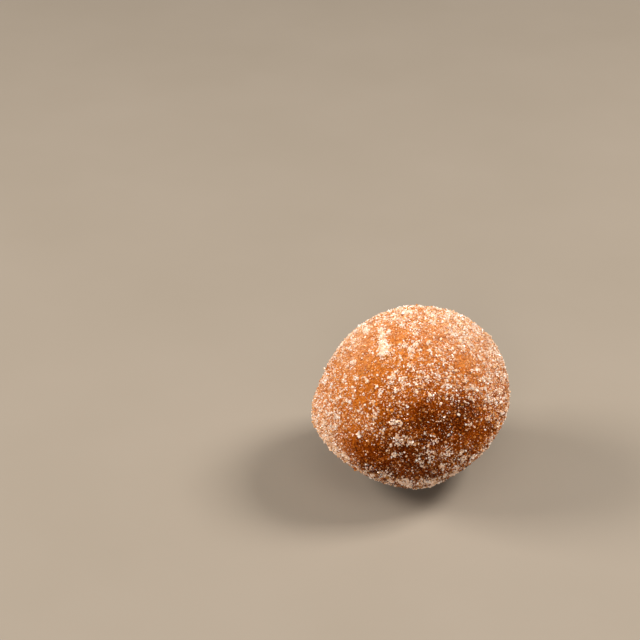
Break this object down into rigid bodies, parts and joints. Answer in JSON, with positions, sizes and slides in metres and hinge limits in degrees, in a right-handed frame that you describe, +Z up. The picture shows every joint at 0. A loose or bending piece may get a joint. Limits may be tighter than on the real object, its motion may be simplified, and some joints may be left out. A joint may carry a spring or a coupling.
{
  "type": "quark doughnut ball",
  "caption": "Uneven ball of fried quark dough with a golden brown crust and a coarse coat of sugar crystals, resting on a small flat spot.",
  "frame": {"origin": "on the flat resting spot, straight below the middle of the ball", "axes": "+Z up from the resting spot; -X towards the blunt end of the ball; -Y towards the browned front with the bare patches"},
  "size_m": [0.0491, 0.0469, 0.0432],
  "materials": {
    "fried_crust": "golden to dark brown fried crust, dull with a faint fatty shine",
    "sugar": "white sugar crystals, a little clear, with small bright facets"
  },
  "bodies": {
    "root": {"doughnut_ball": "fried_crust"}
  },
  "joints": []
}
